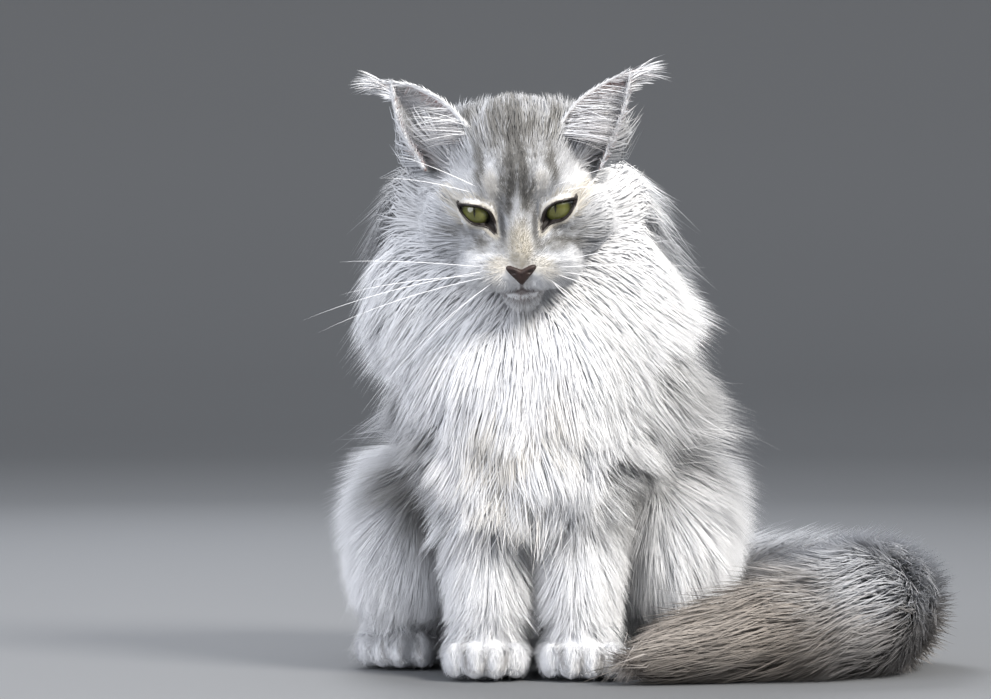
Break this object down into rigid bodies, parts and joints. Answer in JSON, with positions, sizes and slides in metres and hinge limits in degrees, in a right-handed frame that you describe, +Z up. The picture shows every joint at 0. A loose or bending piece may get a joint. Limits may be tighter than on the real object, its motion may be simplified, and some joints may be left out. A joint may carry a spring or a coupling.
{
  "type": "maine coon cat",
  "caption": "Life-size still model of a long-haired silver cat sitting upright, with tufted ears, a deep ruff and a plumed tail laid round its side.",
  "frame": {"origin": "middle of the whole model's box, on the floor it sits on", "axes": "+Z up; the cat faces -Y; +X is its own left, where the tail lies"},
  "size_m": [0.4154, 0.3208, 0.421],
  "materials": {
    "coat_white": "long soft fur",
    "coat_silver": "soft fur",
    "coat_smoke": "long soft fur",
    "nose_leather": "moist, fine grained",
    "eye_glass": "polished"
  },
  "bodies": {
    "root": {"head": "coat_silver", "nose": "nose_leather", "eye_right": "eye_glass", "eye_left": "eye_glass", "ear_right": "coat_silver", "ear_left": "coat_silver", "ruff": "coat_white", "torso": "coat_silver", "foreleg_right": "coat_white", "foreleg_left": "coat_white", "forepaw_right": "coat_white", "forepaw_left": "coat_white", "hindleg_right": "coat_white", "hindleg_left": "coat_white", "hindpaw_right": "coat_white", "hindpaw_left": "coat_white", "tail_root": "coat_smoke", "tail_middle": "coat_smoke", "tail_tip": "coat_smoke"}
  },
  "joints": []
}
